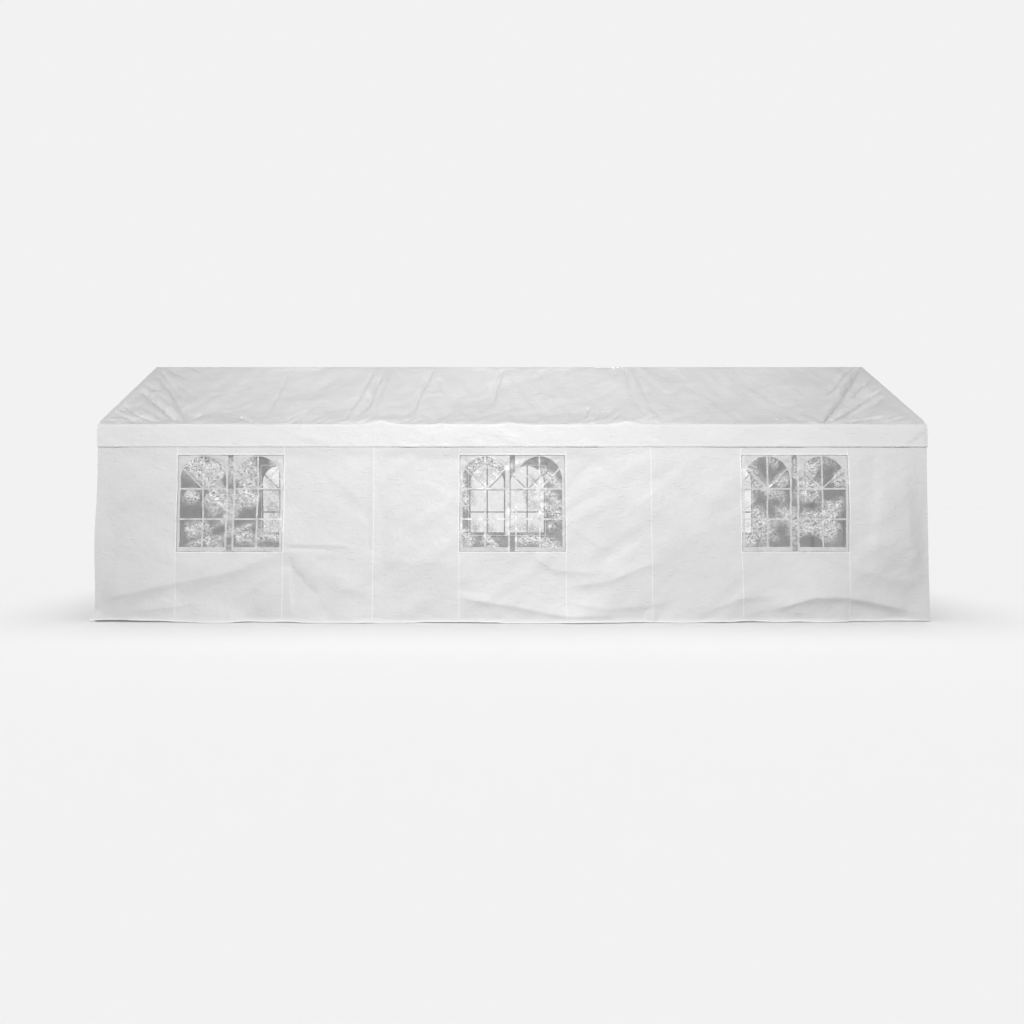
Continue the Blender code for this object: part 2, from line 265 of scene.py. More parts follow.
RIB = np.array([-0.5, -0.42, 0, 0.42, 0.5])
RIB_HEIGHT = np.array([0.0, 0.8, 1.0, 0.8, 0.0])


def ribbon(start, end, width, step=0.02, ribs=RIB):
    """A grid of flat points along a ribbon between two points."""
    start = np.array(start, float)
    end = np.array(end, float)
    length = float(np.hypot(*(end - start)))
    way = (end - start) / length
    t = np.linspace(0, 1, max(2, round(length / step) + 1))[:, None]
    across = ribs[None, :] * width
    u = start[0] + t * (end[0] - start[0]) + across * way[1]
    v = start[1] + t * (end[1] - start[1]) - across * way[0]
    return u, v


# Walls

# Each crease is a line of points (x0, z), its width and its depth. Its gentle side is on its left
FRONT_CREASES = [
    ([(-4.55, 0.20), (-3.60, 0.42), (-2.98, 0.55), (-2.45, 0.77)], 0.090, 0.036),
    ([(-2.08, 0.26), (-2.33, 0.50), (-2.45, 0.77)], 0.050, -0.020),
    ([(-2.45, 0.83), (-1.80, 0.81), (-1.67, 0.75)], 0.014, 0.007),
    ([(-2.45, 0.78), (-2.05, 0.78), (-1.90, 0.74)], 0.014, -0.006),
    ([(-2.37, 0.06), (-2.41, 0.59)], 0.026, 0.013),
    ([(-3.63, 0.75), (-3.66, 0.26)], 0.022, -0.007),
    ([(-4.10, 0.10), (-3.58, 0.16), (-3.66, 0.30)], 0.030, 0.010),
    ([(-1.59, 0.26), (-1.51, 0.83)], 0.050, 0.010),
    ([(-0.59, 0.26), (0.03, 0.17), (0.59, 0.06), (1.20, 0.08)], 0.040, 0.024),
    ([(-0.59, 0.34), (-0.20, 0.28)], 0.030, -0.008),
    ([(0.22, 0.71), (0.46, 0.55), (0.95, 0.52)], 0.034, 0.012),
    ([(0.63, 0.38), (1.04, 0.44), (1.40, 0.59), (1.65, 0.65)], 0.040, 0.016),
    ([(0.59, 0.22), (1.04, 0.14), (1.53, 0.18), (1.73, 0.26)], 0.040, 0.016),
    ([(2.02, 0.09), (2.43, 0.24), (2.92, 0.30)], 0.040, 0.014),
    ([(2.75, 0.12), (3.24, 0.27), (3.57, 0.26), (3.90, 0.20), (4.42, 0.08)], 0.060, 0.046),
    ([(3.80, 0.86), (4.10, 0.82), (4.60, 0.80)], 0.200, 0.030),
    ([(3.65, 1.53), (3.82, 0.91)], 0.060, 0.010),
    ([(4.47, 0.42), (4.43, 0.59), (4.31, 0.79)], 0.028, 0.018),
    ([(3.60, 0.60), (4.06, 0.46), (4.60, 0.42)], 0.140, 0.030),
    ([(-1.40, 0.66), (-0.95, 0.64), (-0.50, 0.66)], 0.160, 0.022),
    ([(-0.62, 1.31), (-1.00, 1.53)], 0.040, 0.007),
    ([(-1.98, 1.58), (-1.65, 1.31)], 0.040, 0.006),
    ([(0.63, 1.02), (0.95, 0.80), (1.10, 0.78)], 0.020, 0.006),
]
GENTLE_SIDE = 4.0


class Wall:
    """A hung wall: where its cloth lies, and a way to lay strips on it."""

    def __init__(self, facing, marks, step, relief, hem_rise):
        self.facing = facing
        self.long = facing in ("front", "back")
        self.run = LONG_RUN if self.long else END_RUN
        self.hem_rise = hem_rise
        x_marks, z_marks = marks
        self.lines = (grid_lines(x_marks, step), grid_lines(z_marks, step))
        x0, z = np.meshgrid(*self.lines, indexing="ij")
        self.relief = relief(x0, z)

    @property
    def flip(self):
        return self.facing in ("back", "left")

    def place(self, x0, z, lift=0.0, relief=None):
        """World points of the wall's cloth, raised from it by lift."""
        if self.long:
            reach, flare, side_flare, belly = LONG_REACH, LONG_FLARE, END_FLARE, LONG_BELLY
        else:
            reach, flare, side_flare, belly = END_REACH, END_FLARE, LONG_FLARE, END_BELLY
        share = x0 / self.run
        fall = np.clip(1 - z / WINDOW_HEAD, 0, None) ** FLARE_POWER
        along = x0 + np.sign(share) * np.abs(share) ** 8 * side_flare * fall
        if self.facing == "front":
            along = along - CORNER_BOW * hump(z, 0.85, 0.45) * np.clip(-share, 0, 1) ** 8
            along = along - CORNER_SPILL * hump(x0, -self.run, 0.12) * np.clip(1 - z / 0.07, 0, 1)
        if relief is None:
            relief = between(self.lines, self.relief, x0, z)
        out = reach + (flare + belly * (1 - share**2)) * fall - MID_CLOTH + relief + lift
        if self.facing == "left":
            out = out + CORNER_BOW * hump(z, 0.85, 0.45) * np.clip(-share, 0, 1) ** 8
        height = z + self.hem_rise(x0) * np.clip(1 - z / 0.6, 0, 1)
        if self.long:
            side = -1 if self.facing == "front" else 1
            return np.stack([along, side * out, height], axis=-1)
        side = -1 if self.facing == "left" else 1
        return np.stack([side * out, along, height], axis=-1)

    def sheet(self, name, holes, material):
        x0, z = np.meshgrid(*self.lines, indexing="ij")
        mid_x, mid_z = ((line[:-1] + line[1:]) / 2 for line in self.lines)
        keep = np.ones((len(mid_x), len(mid_z)), bool)
        for low_x, high_x, low_z, high_z in holes:
            inside_x = (mid_x > low_x) & (mid_x < high_x)
            inside_z = (mid_z > low_z) & (mid_z < high_z)
            keep &= ~(inside_x[:, None] & inside_z)
        parts = Parts()
        parts.add(self.place(x0, z, relief=self.relief), keep, self.flip)
        return parts.build(name, material)

    def strip(self, parts, start, end, width, lift):
        """A raised strip along a straight line on the wall."""
        x0, z = ribbon(start, end, width)
        z = np.clip(z, HEM_LIFT, WALL_TOP)
        heights = np.broadcast_to(0.0004 + RIB_HEIGHT * lift, x0.shape)
        parts.add(self.place(x0, z, heights), flip=self.flip)


def zip_fastener(wall, x, low, high, tape, teeth):
    """A zip up the wall: its tape, its teeth and a slider with a pull tab."""
    wall.strip(tape, (x, low), (x, high), 0.036, 0.0010)
    for z in np.arange(low, high, ZIP_PITCH):
        wall.strip(teeth, (x - 0.0035, z), (x + 0.0035, z), 0.0035, 0.0028)
    top = low + 0.05
    wall.strip(teeth, (x, low), (x, top), 0.012, 0.0050)
    wall.strip(teeth, (x, top - 0.06), (x, top - 0.01), 0.007, 0.0065)


def near_post(x0, posts, reach):
    """1 at a post and 0 a few times its reach away."""
    found = np.zeros_like(x0)
    for post in posts:
        found = np.maximum(found, hump(x0, post, reach))
    return found


def hung_relief(x0, z, seed, posts):
    """How a hung wall stands off its plain shape: soft swells, slanting folds and a wavy hem."""
    relief = 0.014 * noise(x0, z, 0.85, seed) + 0.007 * noise(x0, z, 0.4, seed + 1)
    relief = relief + 0.0045 * folds(x0, z, -28, 0.9, 0.16, seed + 2)
    relief = relief + 0.0040 * folds(x0, z, 35, 0.7, 0.12, seed + 3)
    relief = relief + 0.0018 * crumple(x0, z, 0.16, seed + 4)
    relief = relief + 0.0090 * facets(x0, z, 0.42, seed + 12) + 0.0030 * facets(x0, z, 0.17, seed + 14)
    lower = 1 - smooth_step(0.2, 1.2, z)
    relief = relief + 0.0060 * folds(x0, z, 90, 1.2, 0.22, seed + 5) * lower
    hem = np.clip(1 - z / 0.32, 0, 1) ** 1.6
    relief = relief + hem * (0.024 * noise(x0, z, 0.45, seed + 6) + 0.010 * noise(x0, z, 0.16, seed + 8))
    lip = np.clip(1 - z / 0.035, 0, 1)
    relief = relief + lip * (0.016 + 0.014 * noise(x0, z, 0.2, seed + 9))
    return relief, -0.02 + 0.017 * near_post(x0, posts, 0.08)


def below_valance(z):
    return 1 - smooth_step(1.74, 1.90, z)


def corner_hold(x0, run):
    """0 at the corners, where two walls are sewn together, and 1 away from them."""
    return smooth_step(0.0, 0.26, run - np.abs(x0))


def front_relief(x0, z):
    relief, floor_level = hung_relief(x0, z, 11, RAFTERS[1:3])
    relief = relief + crease_sum(x0, z, FRONT_CREASES, GENTLE_SIDE)
    corner = hump(x0, -LONG_RUN, 0.10) * np.clip(1 - z / 0.10, 0, 1)
    by_end = smooth_step(3.1, 4.0, x0)
    drawn_in = 0.045 * by_end * (1 - smooth_step(0.0, 0.8, z))
    by_end = by_end * (1 - smooth_step(3.95, 4.45, x0))
    leaning = 0.055 * by_end * smooth_step(0.3, 1.3, z) * (1 - smooth_step(1.3, 1.85, z))
    relief = np.maximum(relief, floor_level) + leaning - drawn_in
    return (relief * corner_hold(x0, LONG_RUN) + 0.04 * corner) * below_valance(z)


def back_relief(x0, z):
    relief, floor_level = hung_relief(x0, z, 47, RAFTERS[1:3])
    relief = relief + crease_sum(x0, z, mirrored(FRONT_CREASES), 1 / GENTLE_SIDE)
    return np.maximum(relief, floor_level) * corner_hold(x0, LONG_RUN) * below_valance(z)


def end_relief(seed):
    def relief(x0, z):
        found, floor_level = hung_relief(x0, z, seed, ())
        bulge = 0.03 * np.sin(np.pi * np.clip(z / 1.7, 0, 1)) * (1 - (x0 / END_RUN) ** 2)
        return np.maximum(found + bulge, floor_level) * corner_hold(x0, END_RUN) * below_valance(z)

    return relief


def front_hem(x0):
    """How far the front's hem is lifted off the ground."""
    left = 0.018 * smooth_step(3.2, 4.4, -x0)
    return left + 0.012 * hump(x0, 2.47, 0.13) + np.maximum(0.001, 0.003 + 0.006 * noise(x0, 0, 0.22, 5))


def other_hem(x0):
    return np.maximum(0.001, 0.008 + 0.012 * noise(x0, 0, 0.35, 15))


# Roof cover

# Each crease is a line of points (x, rise), its width and its depth
ROOF_CREASES = [
    ([(-4.39, 1.00), (-3.62, 0.09)], 0.030, -0.034),
    ([(-4.42, 1.62), (-4.05, 1.10), (-3.85, 0.80)], 0.020, -0.014),
    ([(-4.10, 1.05), (-3.80, 0.60), (-3.55, 0.19)], 0.050, -0.014),
    ([(-4.47, 1.42), (-4.07, 0.92), (-3.65, 0.13)], 0.030, 0.024),
    ([(-4.37, 0.28), (-4.14, 0.13)], 0.016, -0.012),
    ([(-4.45, 0.13), (-4.24, 0.11)], 0.014, -0.008),
    ([(-4.16, 0.23), (-4.00, 0.18)], 0.016, 0.010),
    ([(-4.48, 0.38), (-4.25, 0.21)], 0.016, -0.012),
    ([(-4.49, 0.62), (-4.20, 0.30), (-3.86, 0.10)], 0.020, -0.014),
    ([(-3.07, 0.39), (-2.82, 0.09)], 0.024, -0.018),
    ([(-2.51, 0.09), (-2.38, 0.37), (-2.25, 0.49)], 0.024, 0.018),
    ([(-2.80, 1.60), (-2.79, 0.82), (-2.76, 0.32)], 0.026, -0.009),
    ([(-3.59, 0.19), (-3.52, 0.47)], 0.022, -0.016),
    ([(-3.36, 0.52), (-3.06, 0.37)], 0.016, 0.008),
    ([(-1.84, 0.52), (-1.89, 0.13)], 0.020, 0.012),
    ([(-1.72, 1.55), (-1.82, 0.66), (-1.87, 0.13)], 0.028, -0.026),
    ([(-1.66, 1.50), (-1.73, 0.66), (-1.80, 0.13)], 0.028, 0.020),
    ([(-1.62, 1.37), (-1.64, 0.82), (-1.64, 0.37)], 0.024, -0.020),
    ([(-0.96, 1.66), (-1.08, 0.95), (-1.14, 0.23)], 0.026, -0.021),
    ([(-0.88, 1.42), (-0.80, 1.03)], 0.024, -0.011),
    ([(-0.08, 1.69), (-0.17, 1.20), (-0.22, 0.61)], 0.024, -0.016),
    ([(0.42, 1.66), (0.34, 1.37)], 0.020, -0.007),
    ([(0.90, 0.61), (0.80, 0.23)], 0.022, -0.013),
    ([(-0.41, 0.47), (-0.46, 0.13)], 0.020, -0.010),
    ([(1.47, 1.66), (1.44, 1.09), (1.48, 0.56), (1.50, 0.13)], 0.030, -0.022),
    ([(1.53, 1.40), (1.52, 0.56), (1.60, 0.13)], 0.022, 0.014),
    ([(2.10, 1.25), (1.97, 0.92)], 0.018, -0.009),
    ([(1.13, 0.47), (0.96, 0.13)], 0.018, -0.012),
    ([(1.02, 0.52), (0.86, 0.16)], 0.018, 0.010),
    ([(1.17, 0.38), (1.04, 0.11)], 0.018, 0.010),
    ([(3.01, 0.32), (2.74, 0.09)], 0.018, -0.011),
    ([(3.08, 0.27), (2.86, 0.08)], 0.018, 0.010),
    ([(4.34, 1.70), (4.00, 1.25), (3.77, 0.97)], 0.022, -0.019),
    ([(4.44, 1.70), (3.97, 0.97), (3.64, 0.47), (3.38, 0.07)], 0.034, -0.042),
    ([(4.40, 1.55), (4.04, 0.97), (3.72, 0.52), (3.44, 0.10)], 0.026, 0.020),
    ([(4.35, 1.23), (4.16, 1.04), (3.98, 0.82)], 0.022, -0.020),
    ([(4.39, 0.97), (4.09, 0.71), (3.74, 0.37), (3.43, 0.05)], 0.026, -0.055),
    ([(4.35, 0.86), (4.05, 0.54)], 0.024, 0.018),
    ([(4.17, 0.27), (3.82, 0.24), (3.49, 0.08)], 0.024, 0.010),
    ([(4.32, 0.24), (4.02, 0.08)], 0.018, 0.012),
    ([(4.44, 0.75), (4.42, 0.44)], 0.018, 0.010),
]

# Where a fold of the cover stands up at the eave: its x, width and height
EAVE_BUMPS = ((-1.43, 0.11, 0.038), (-0.02, 0.08, 0.018), (1.24, 0.10, 0.030), (-0.75, 0.05, 0.008))
PATH_ROWS = 13


def girth_path(step):
    """Points up one side of the cover, from the foot of the valance to the ridge.

    Each is (reach from the middle, z, rise up the slope, hang from 0 at the eave to 1 at the foot).
    """
    half = HALF_WIDTH - MID_CLOTH
    drop = MID_CLOTH / math.cos(ROOF_PITCH)
    eave = EAVE_HEIGHT + MID_CLOTH * RISE - drop
    ridge = RIDGE_HEIGHT - drop
    foot = EAVE_HEIGHT - VALANCE_HEIGHT
    rows = []
    for t in np.linspace(0, 1, PATH_ROWS)[:-1]:
        z = foot + t * (eave - EAVE_ROUNDING - foot)
        rows.append((half, z, 0.0, (eave - z) / (eave - foot)))
    slope_in = EAVE_ROUNDING * math.cos(ROOF_PITCH)
    slope_up = EAVE_ROUNDING * math.sin(ROOF_PITCH)
    for t in np.linspace(0, 1, 5)[:-1]:
        a, b, c = (1 - t) ** 2, 2 * t * (1 - t), t**2
        reach = (a + b) * half + c * (half - slope_in)
        z = a * (eave - EAVE_ROUNDING) + b * eave + c * (eave + slope_up)
        rows.append((reach, z, 0.0, max(0.0, (eave - z) / (eave - foot))))
    length = math.hypot(half, ridge - eave)
    for t in np.linspace(0, 1, round(length / step) + 1)[:-1]:
        rise = EAVE_ROUNDING + t * (length - 1.6 * EAVE_ROUNDING)
        rows.append((half - rise * math.cos(ROOF_PITCH), eave + rise * math.sin(ROOF_PITCH), rise, 0.0))
    rows.append((0.0, ridge - 0.2 * EAVE_ROUNDING, length, 0.0))
    return np.array(rows)


class Slope:
    """One side of the roof cover: its valance and its slope up to the ridge."""

    def __init__(self, side, step, creases, seed):
        self.side = side
        self.path = girth_path(step)
        tangent = np.gradient(self.path[:, :2], axis=0)
        tangent /= np.linalg.norm(tangent, axis=1)[:, None]
        self.normals = np.stack([tangent[:, 1], -tangent[:, 0]], axis=1)
        self.normals[-1] = (0.0, 1.0)
        marks = [-VERGE, -VERGE + 0.03, *RAFTERS[1:3], VERGE - 0.03, VERGE]
        self.lines = (grid_lines(marks, step), np.arange(len(self.path), dtype=float))
        x, row = np.meshgrid(*self.lines, indexing="ij")
        row = row.astype(int)
        rise, hang = self.path[row, 2], self.path[row, 3]
        on_slope = self.slope_relief(x, rise, creases, seed)
        on_valance = self.valance_relief(x, hang, seed)
        self.relief = np.where(hang > 0, on_valance, on_slope)

    @staticmethod
    def eave_lift(x, height):
        """How far the bumps along the eave raise the cover there."""
        found = np.zeros_like(x)
        for middle, width, rise in EAVE_BUMPS:
            found = found + rise * hump(x, middle, width)
        return found * hump(height, EAVE_HEIGHT, 0.07)

    @staticmethod
    def slope_relief(x, rise, creases, seed):
        share = np.clip(rise / SLOPE_LENGTH, 0, 1)
        bay = np.zeros_like(x)
        for left, right in zip(RAFTERS[:-1], RAFTERS[1:]):
            t = np.clip((x - left) / (right - left), 0, 1)
            bay = np.where((x >= left) & (x <= right), np.sin(np.pi * t) ** 0.75, bay)
        sag = -ROOF_SAG * bay * np.sin(np.pi * share**0.8)
        wrinkle = 0.009 * noise(x, rise, 0.5, seed + 3) + 0.006 * folds(x, rise, 75, 0.8, 0.12, seed + 4)
        wrinkle = wrinkle + 0.005 * folds(x, rise, 108, 0.6, 0.10, seed + 5)
        wrinkle = wrinkle + 0.0022 * crumple(x, rise, 0.12, seed + 6)
        wrinkle = wrinkle + 0.014 * facets(x, rise, 0.40, seed + 12) + 0.0055 * facets(x, rise, 0.16, seed + 14)
        at_eave = hump(rise, 0.0, 0.22)
        wrinkle = wrinkle + 0.011 * at_eave * folds(x, rise, 62, 0.4, 0.06, seed + 9)
        ends = smooth_step(3.5, 4.3, np.abs(x))
        tilt = np.where(x > 0, rise, -rise)
        wrinkle = wrinkle + 0.009 * ends * folds(x, tilt, 42, 0.45, 0.055, seed + 8)
        quiet = smooth_step(-0.03, 0.08, share) * smooth_step(0.0, 0.05, 1 - share)
        creased = crease_sum(x, rise, creases)
        wrinkle = (wrinkle + np.where(creased < 0, 1.8, 0.6) * creased) * quiet
        gutter = hump(rise, 0.04, 0.016) * np.clip(0.6 + 2 * noise(x, 0, 0.25, seed + 16), 0, 1)
        wrinkle = wrinkle - 0.010 * gutter
        taut = smooth_step(0.0, 0.06, VERGE - np.abs(x))
        verge = smooth_step(0.0, 0.30, VERGE - np.abs(x))
        wrinkle = np.where(wrinkle > 0, wrinkle * verge, np.maximum(wrinkle, -0.08) * taut)
        at_rafter = near_post(x, RAFTERS, 0.05)
        wrinkle = np.where(wrinkle < 0, wrinkle * (1 - at_rafter), wrinkle)
        return sag + wrinkle

    @staticmethod
    def valance_relief(x, hang, seed):
        sway = 0.003 + 0.006 * noise(x, 0.3 * hang, 0.7, seed + 21)
        sway = sway + 0.004 * noise(x, 0.3 * hang, 0.22, seed + 22)
        sway = sway + 0.004 * folds(x, hang * 0.245, 20, 0.5, 0.08, seed + 23)
        near_end = smooth_step(3.9, 4.4, np.abs(x))
        sway = sway + 0.007 * near_end * folds(x, hang * 0.245, -35, 0.25, 0.04, seed + 24)
        sway = sway + 0.012 * smooth_step(3.7, 4.3, x)
        return np.maximum(sway, -0.001) * hang**0.7 * smooth_step(0.0, 0.05, VERGE - np.abs(x))

    def place(self, x, row, lift=0.0):
        low = np.clip(np.floor(row).astype(int), 0, len(self.path) - 2)
        t = (row - low)[..., None]
        base = self.path[low, :2] * (1 - t) + self.path[low + 1, :2] * t
        normal = self.normals[low] * (1 - t) + self.normals[low + 1] * t
        off = (between(self.lines, self.relief, x, row) + lift)[..., None]
        found = base + normal * off
        tuck = CORNER_TUCK * hump(found[..., 1], EAVE_HEIGHT, 0.035) * smooth_step(4.3, HALF_LENGTH, np.abs(x))
        height = found[..., 1] + self.eave_lift(x, found[..., 1])
        return np.stack([x - np.sign(x) * tuck, self.side * found[..., 0], height], axis=-1)

    def grid(self):
        return self.place(*np.meshgrid(*self.lines, indexing="ij"))

    def sheet(self, name, material):
        parts = Parts()
        parts.add(self.grid(), flip=self.side > 0)
        return parts.build(name, material)

    def seam(self, parts, x, width, lift):
        """A raised strip up the slope at x."""
        rows = np.linspace(0, len(self.path) - 1.001, 200)[:, None]
        across = x + RIB[None, :] * width
        u, row = np.broadcast_arrays(across, rows)
        heights = np.broadcast_to(0.0003 + RIB_HEIGHT * lift, u.shape)
        parts.add(self.place(u, row, heights), flip=self.side < 0)

    def hem(self, parts, lift):
        """The hem along the foot of the valance."""
        rows = 0.02 + (RIB[None, :] + 0.5) * 1.5
        u, row = np.broadcast_arrays(self.lines[0][:, None], rows)
        heights = np.broadcast_to(0.0003 + RIB_HEIGHT * lift, u.shape)
        parts.add(self.place(u, row, heights), flip=self.side > 0)


def gable(name, end, slopes, material):
    """The end of the cover, from the foot of the valance up to the verge."""
    edges = []
    for slope in slopes:
        grid = slope.grid()
        edges.append((grid[-1] if end > 0 else grid[0], slope.path[:, 3]))
    rows = 28
    (front, hang), (back, back_hang) = edges
    foot = EAVE_HEIGHT - VALANCE_HEIGHT
    side_z = np.linspace(front[0, 2], front[hang > 0][-1, 2], rows)
    columns = [np.stack([np.full(rows, end * VERGE), np.interp(side_z, front[:, 2], front[:, 1]), side_z], 1)]
    top = [*front[hang == 0], *back[back_hang == 0][-2::-1]]
    for x, y, z in top:
        zs = np.linspace(foot, z, rows)
        columns.append(np.stack([np.full(rows, x), np.full(rows, y), zs], 1))
    columns.append(columns[0] * (1, -1, 1))
    grid = np.array(columns)
    y, z = grid[..., 1], grid[..., 2]
    edge = smooth_step(0, 0.25, HALF_WIDTH - np.abs(y))
    edge = edge * smooth_step(0, 0.12, RIDGE_HEIGHT - np.abs(y) * RISE - z)
    swell = 0.012 * noise(y, z, 0.6, 31 + end) + 0.006 * folds(y, z, 60, 0.5, 0.1, 33 + end)
    swell = swell + 0.010 * np.clip((EAVE_HEIGHT - z) / VALANCE_HEIGHT, 0, 1) * (1 + noise(y, z, 0.3, 35))
    grid[..., 0] += end * np.maximum(swell, -0.001) * edge
    parts = Parts()
    parts.add(grid, flip=end < 0)
    return parts.build(name, material)


# Windows

LIGHT_CENTRE = 0.294
LIGHT_HALF = 0.245
LIGHT_FOOT = 0.803
ARCH_SPRING = 1.536
TRANSOMS = (1.103, 1.431)
BAR = 0.018
STILE = 0.021
PRINT_LIFT = 0.0012
FILM_SETBACK = 0.003
CLEAR_EDGE = 0.009

# Where each front window's film is smooth, as (u from its middle, z, width, height), and where it
# is crinkled, as lines of points (u, z) with a width; highlights are painted along the crinkled parts
PATCHINESS = (0.60, 0.08, 0.60)
# The least crinkling on each window, which is also the least of its milky veil and of its painted highlights
MILKINESS_AND_GLINTS = (0.05, 0.20, 0.05)
CLEARINGS = (
    ((0.19, 1.17, 0.13, 0.07), (-0.12, 0.98, 0.09, 0.07), (-0.42, 1.19, 0.12, 0.07), (0.42, 0.84, 0.12, 0.04)),
    ((0.48, 0.97, 0.08, 0.05), (-0.08, 0.86, 0.08, 0.06), (0.20, 0.80, 0.10, 0.04), (-0.30, 1.30, 0.12, 0.20)),
    ((0.27, 0.80, 0.26, 0.06), (0.38, 1.63, 0.08, 0.05), (-0.15, 0.98, 0.09, 0.08), (-0.30, 1.62, 0.12, 0.12),
     (-0.20, 1.28, 0.10, 0.06), (0.18, 1.25, 0.13, 0.05)),
)
CRINKLES = (
    (
        ([(-0.48, 0.81), (-0.06, 0.93), (0.15, 1.00), (0.30, 1.09)], 0.022),
        ([(-0.28, 0.90), (-0.02, 1.14), (0.30, 1.32)], 0.026),
        ([(-0.52, 1.72), (-0.06, 1.57)], 0.075),
        ([(-0.27, 1.37), (-0.05, 1.20)], 0.080),
        ([(0.08, 1.40), (0.31, 1.26)], 0.060),
        ([(-0.49, 0.97), (-0.20, 1.03)], 0.055),
        ([(-0.49, 1.39), (-0.32, 1.30)], 0.050),
        ([(0.06, 1.50), (0.30, 1.65)], 0.075),
        ([(0.06, 0.90), (0.27, 0.92)], 0.045),
        ([(0.33, 0.88), (0.55, 0.92)], 0.030),
    ),
    (
        ([(-0.59, 1.61), (-0.49, 1.16)], 0.045),
        ([(-0.45, 1.60), (-0.30, 1.77)], 0.060),
        ([(-0.27, 1.77), (-0.11, 1.61)], 0.055),
        ([(0.30, 1.66), (0.54, 1.42)], 0.030),
        ([(0.34, 1.44), (0.55, 1.20)], 0.035),
        ([(0.34, 1.28), (0.55, 1.07)], 0.035),
        ([(-0.33, 0.92), (-0.15, 0.76)], 0.040),
        ([(0.04, 0.85), (0.32, 0.88)], 0.050),
        ([(-0.58, 0.97), (-0.41, 0.81)], 0.055),
        ([(0.30, 0.88), (0.54, 0.76)], 0.050),
        ([(0.26, 1.46), (0.34, 1.09)], 0.030),
        ([(0.38, 1.04), (0.55, 0.94)], 0.025),
    ),
    (
        ([(-0.52, 1.66), (-0.06, 1.14), (0.12, 1.01)], 0.035),
        ([(-0.45, 1.25), (-0.31, 1.01), (-0.15, 0.86)], 0.045),
        ([(0.01, 1.13), (0.12, 1.01), (0.28, 0.99), (0.41, 1.16), (0.53, 1.37)], 0.035),
        ([(0.03, 1.66), (0.24, 1.57)], 0.085),
        ([(0.03, 1.49), (0.25, 1.34)], 0.085),
        ([(-0.31, 1.72), (-0.17, 1.67)], 0.050),
        ([(-0.21, 1.57), (-0.08, 1.46)], 0.060),
        ([(-0.56, 0.90), (-0.41, 0.83)], 0.060),
        ([(0.31, 0.94), (0.48, 1.06)], 0.040),
        ([(0.29, 1.13), (0.43, 1.30)], 0.045),
        ([(0.42, 1.58), (0.51, 1.51)], 0.050),
        ([(0.05, 1.14), (0.25, 1.13)], 0.030),
    ),
)


